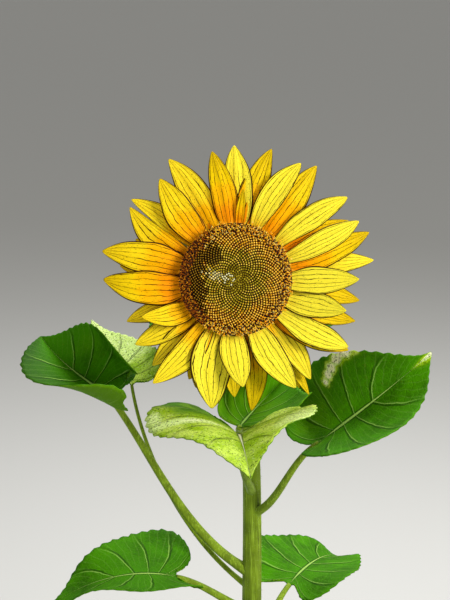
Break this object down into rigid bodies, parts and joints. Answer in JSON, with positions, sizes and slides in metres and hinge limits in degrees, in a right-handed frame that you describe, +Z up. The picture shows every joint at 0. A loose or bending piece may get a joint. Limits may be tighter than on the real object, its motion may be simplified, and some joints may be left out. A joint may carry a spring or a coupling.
{
  "type": "sunflower plant in bloom",
  "caption": "Rooted sunflower plant: a tapering stem that nods under one large flower head, with broad heart-shaped leaves on long petioles",
  "frame": {"origin": "middle of the stem's foot at ground level", "axes": "+Z up along the stem, the flower looks to the front (-Y) and +X is to the right as seen from the front"},
  "size_m": [0.452, 0.511, 0.9189],
  "materials": {
    "stem": "matt green stem with fine ribs and short bristly hairs",
    "petiole": "matt light green, finely ribbed and hairy",
    "leaf": "matt dark green blade with pale sunken veins",
    "young_leaf": "matt pale green blade with veins",
    "bract": "matt green, hairy",
    "seed_disc": "matt, packed florets, olive at the middle, brown and gold at the rim",
    "ray": "soft satin yellow with fine lengthwise grooves",
    "ray_shaded": "soft satin orange-yellow with fine lengthwise grooves"
  },
  "bodies": {
    "root": {"stem": "stem", "receptacle": "bract", "seed_disc": "seed_disc", "ray_whorl_front": "ray", "ray_whorl_middle": "ray", "ray_whorl_back": "ray_shaded", "petiole_right": "petiole", "leaf_right": "leaf", "petiole_left": "petiole", "leaf_left": "leaf", "petiole_young": "petiole", "leaf_young": "young_leaf", "petiole_front": "petiole", "leaf_front": "leaf", "petiole_middle": "petiole", "leaf_middle": "leaf", "petiole_back_left": "petiole", "leaf_back_left": "leaf", "petiole_back_right": "petiole", "leaf_back_right": "leaf", "petiole_lower_1": "petiole", "leaf_lower_1": "leaf", "petiole_lower_2": "petiole", "leaf_lower_2": "leaf", "petiole_lower_3": "petiole", "leaf_lower_3": "leaf", "petiole_lower_4": "petiole", "leaf_lower_4": "leaf", "petiole_lower_5": "petiole", "leaf_lower_5": "leaf", "petiole_lower_6": "petiole", "leaf_lower_6": "leaf", "petiole_lower_7": "petiole", "leaf_lower_7": "leaf", "petiole_lower_8": "petiole", "leaf_lower_8": "leaf"}
  },
  "joints": []
}
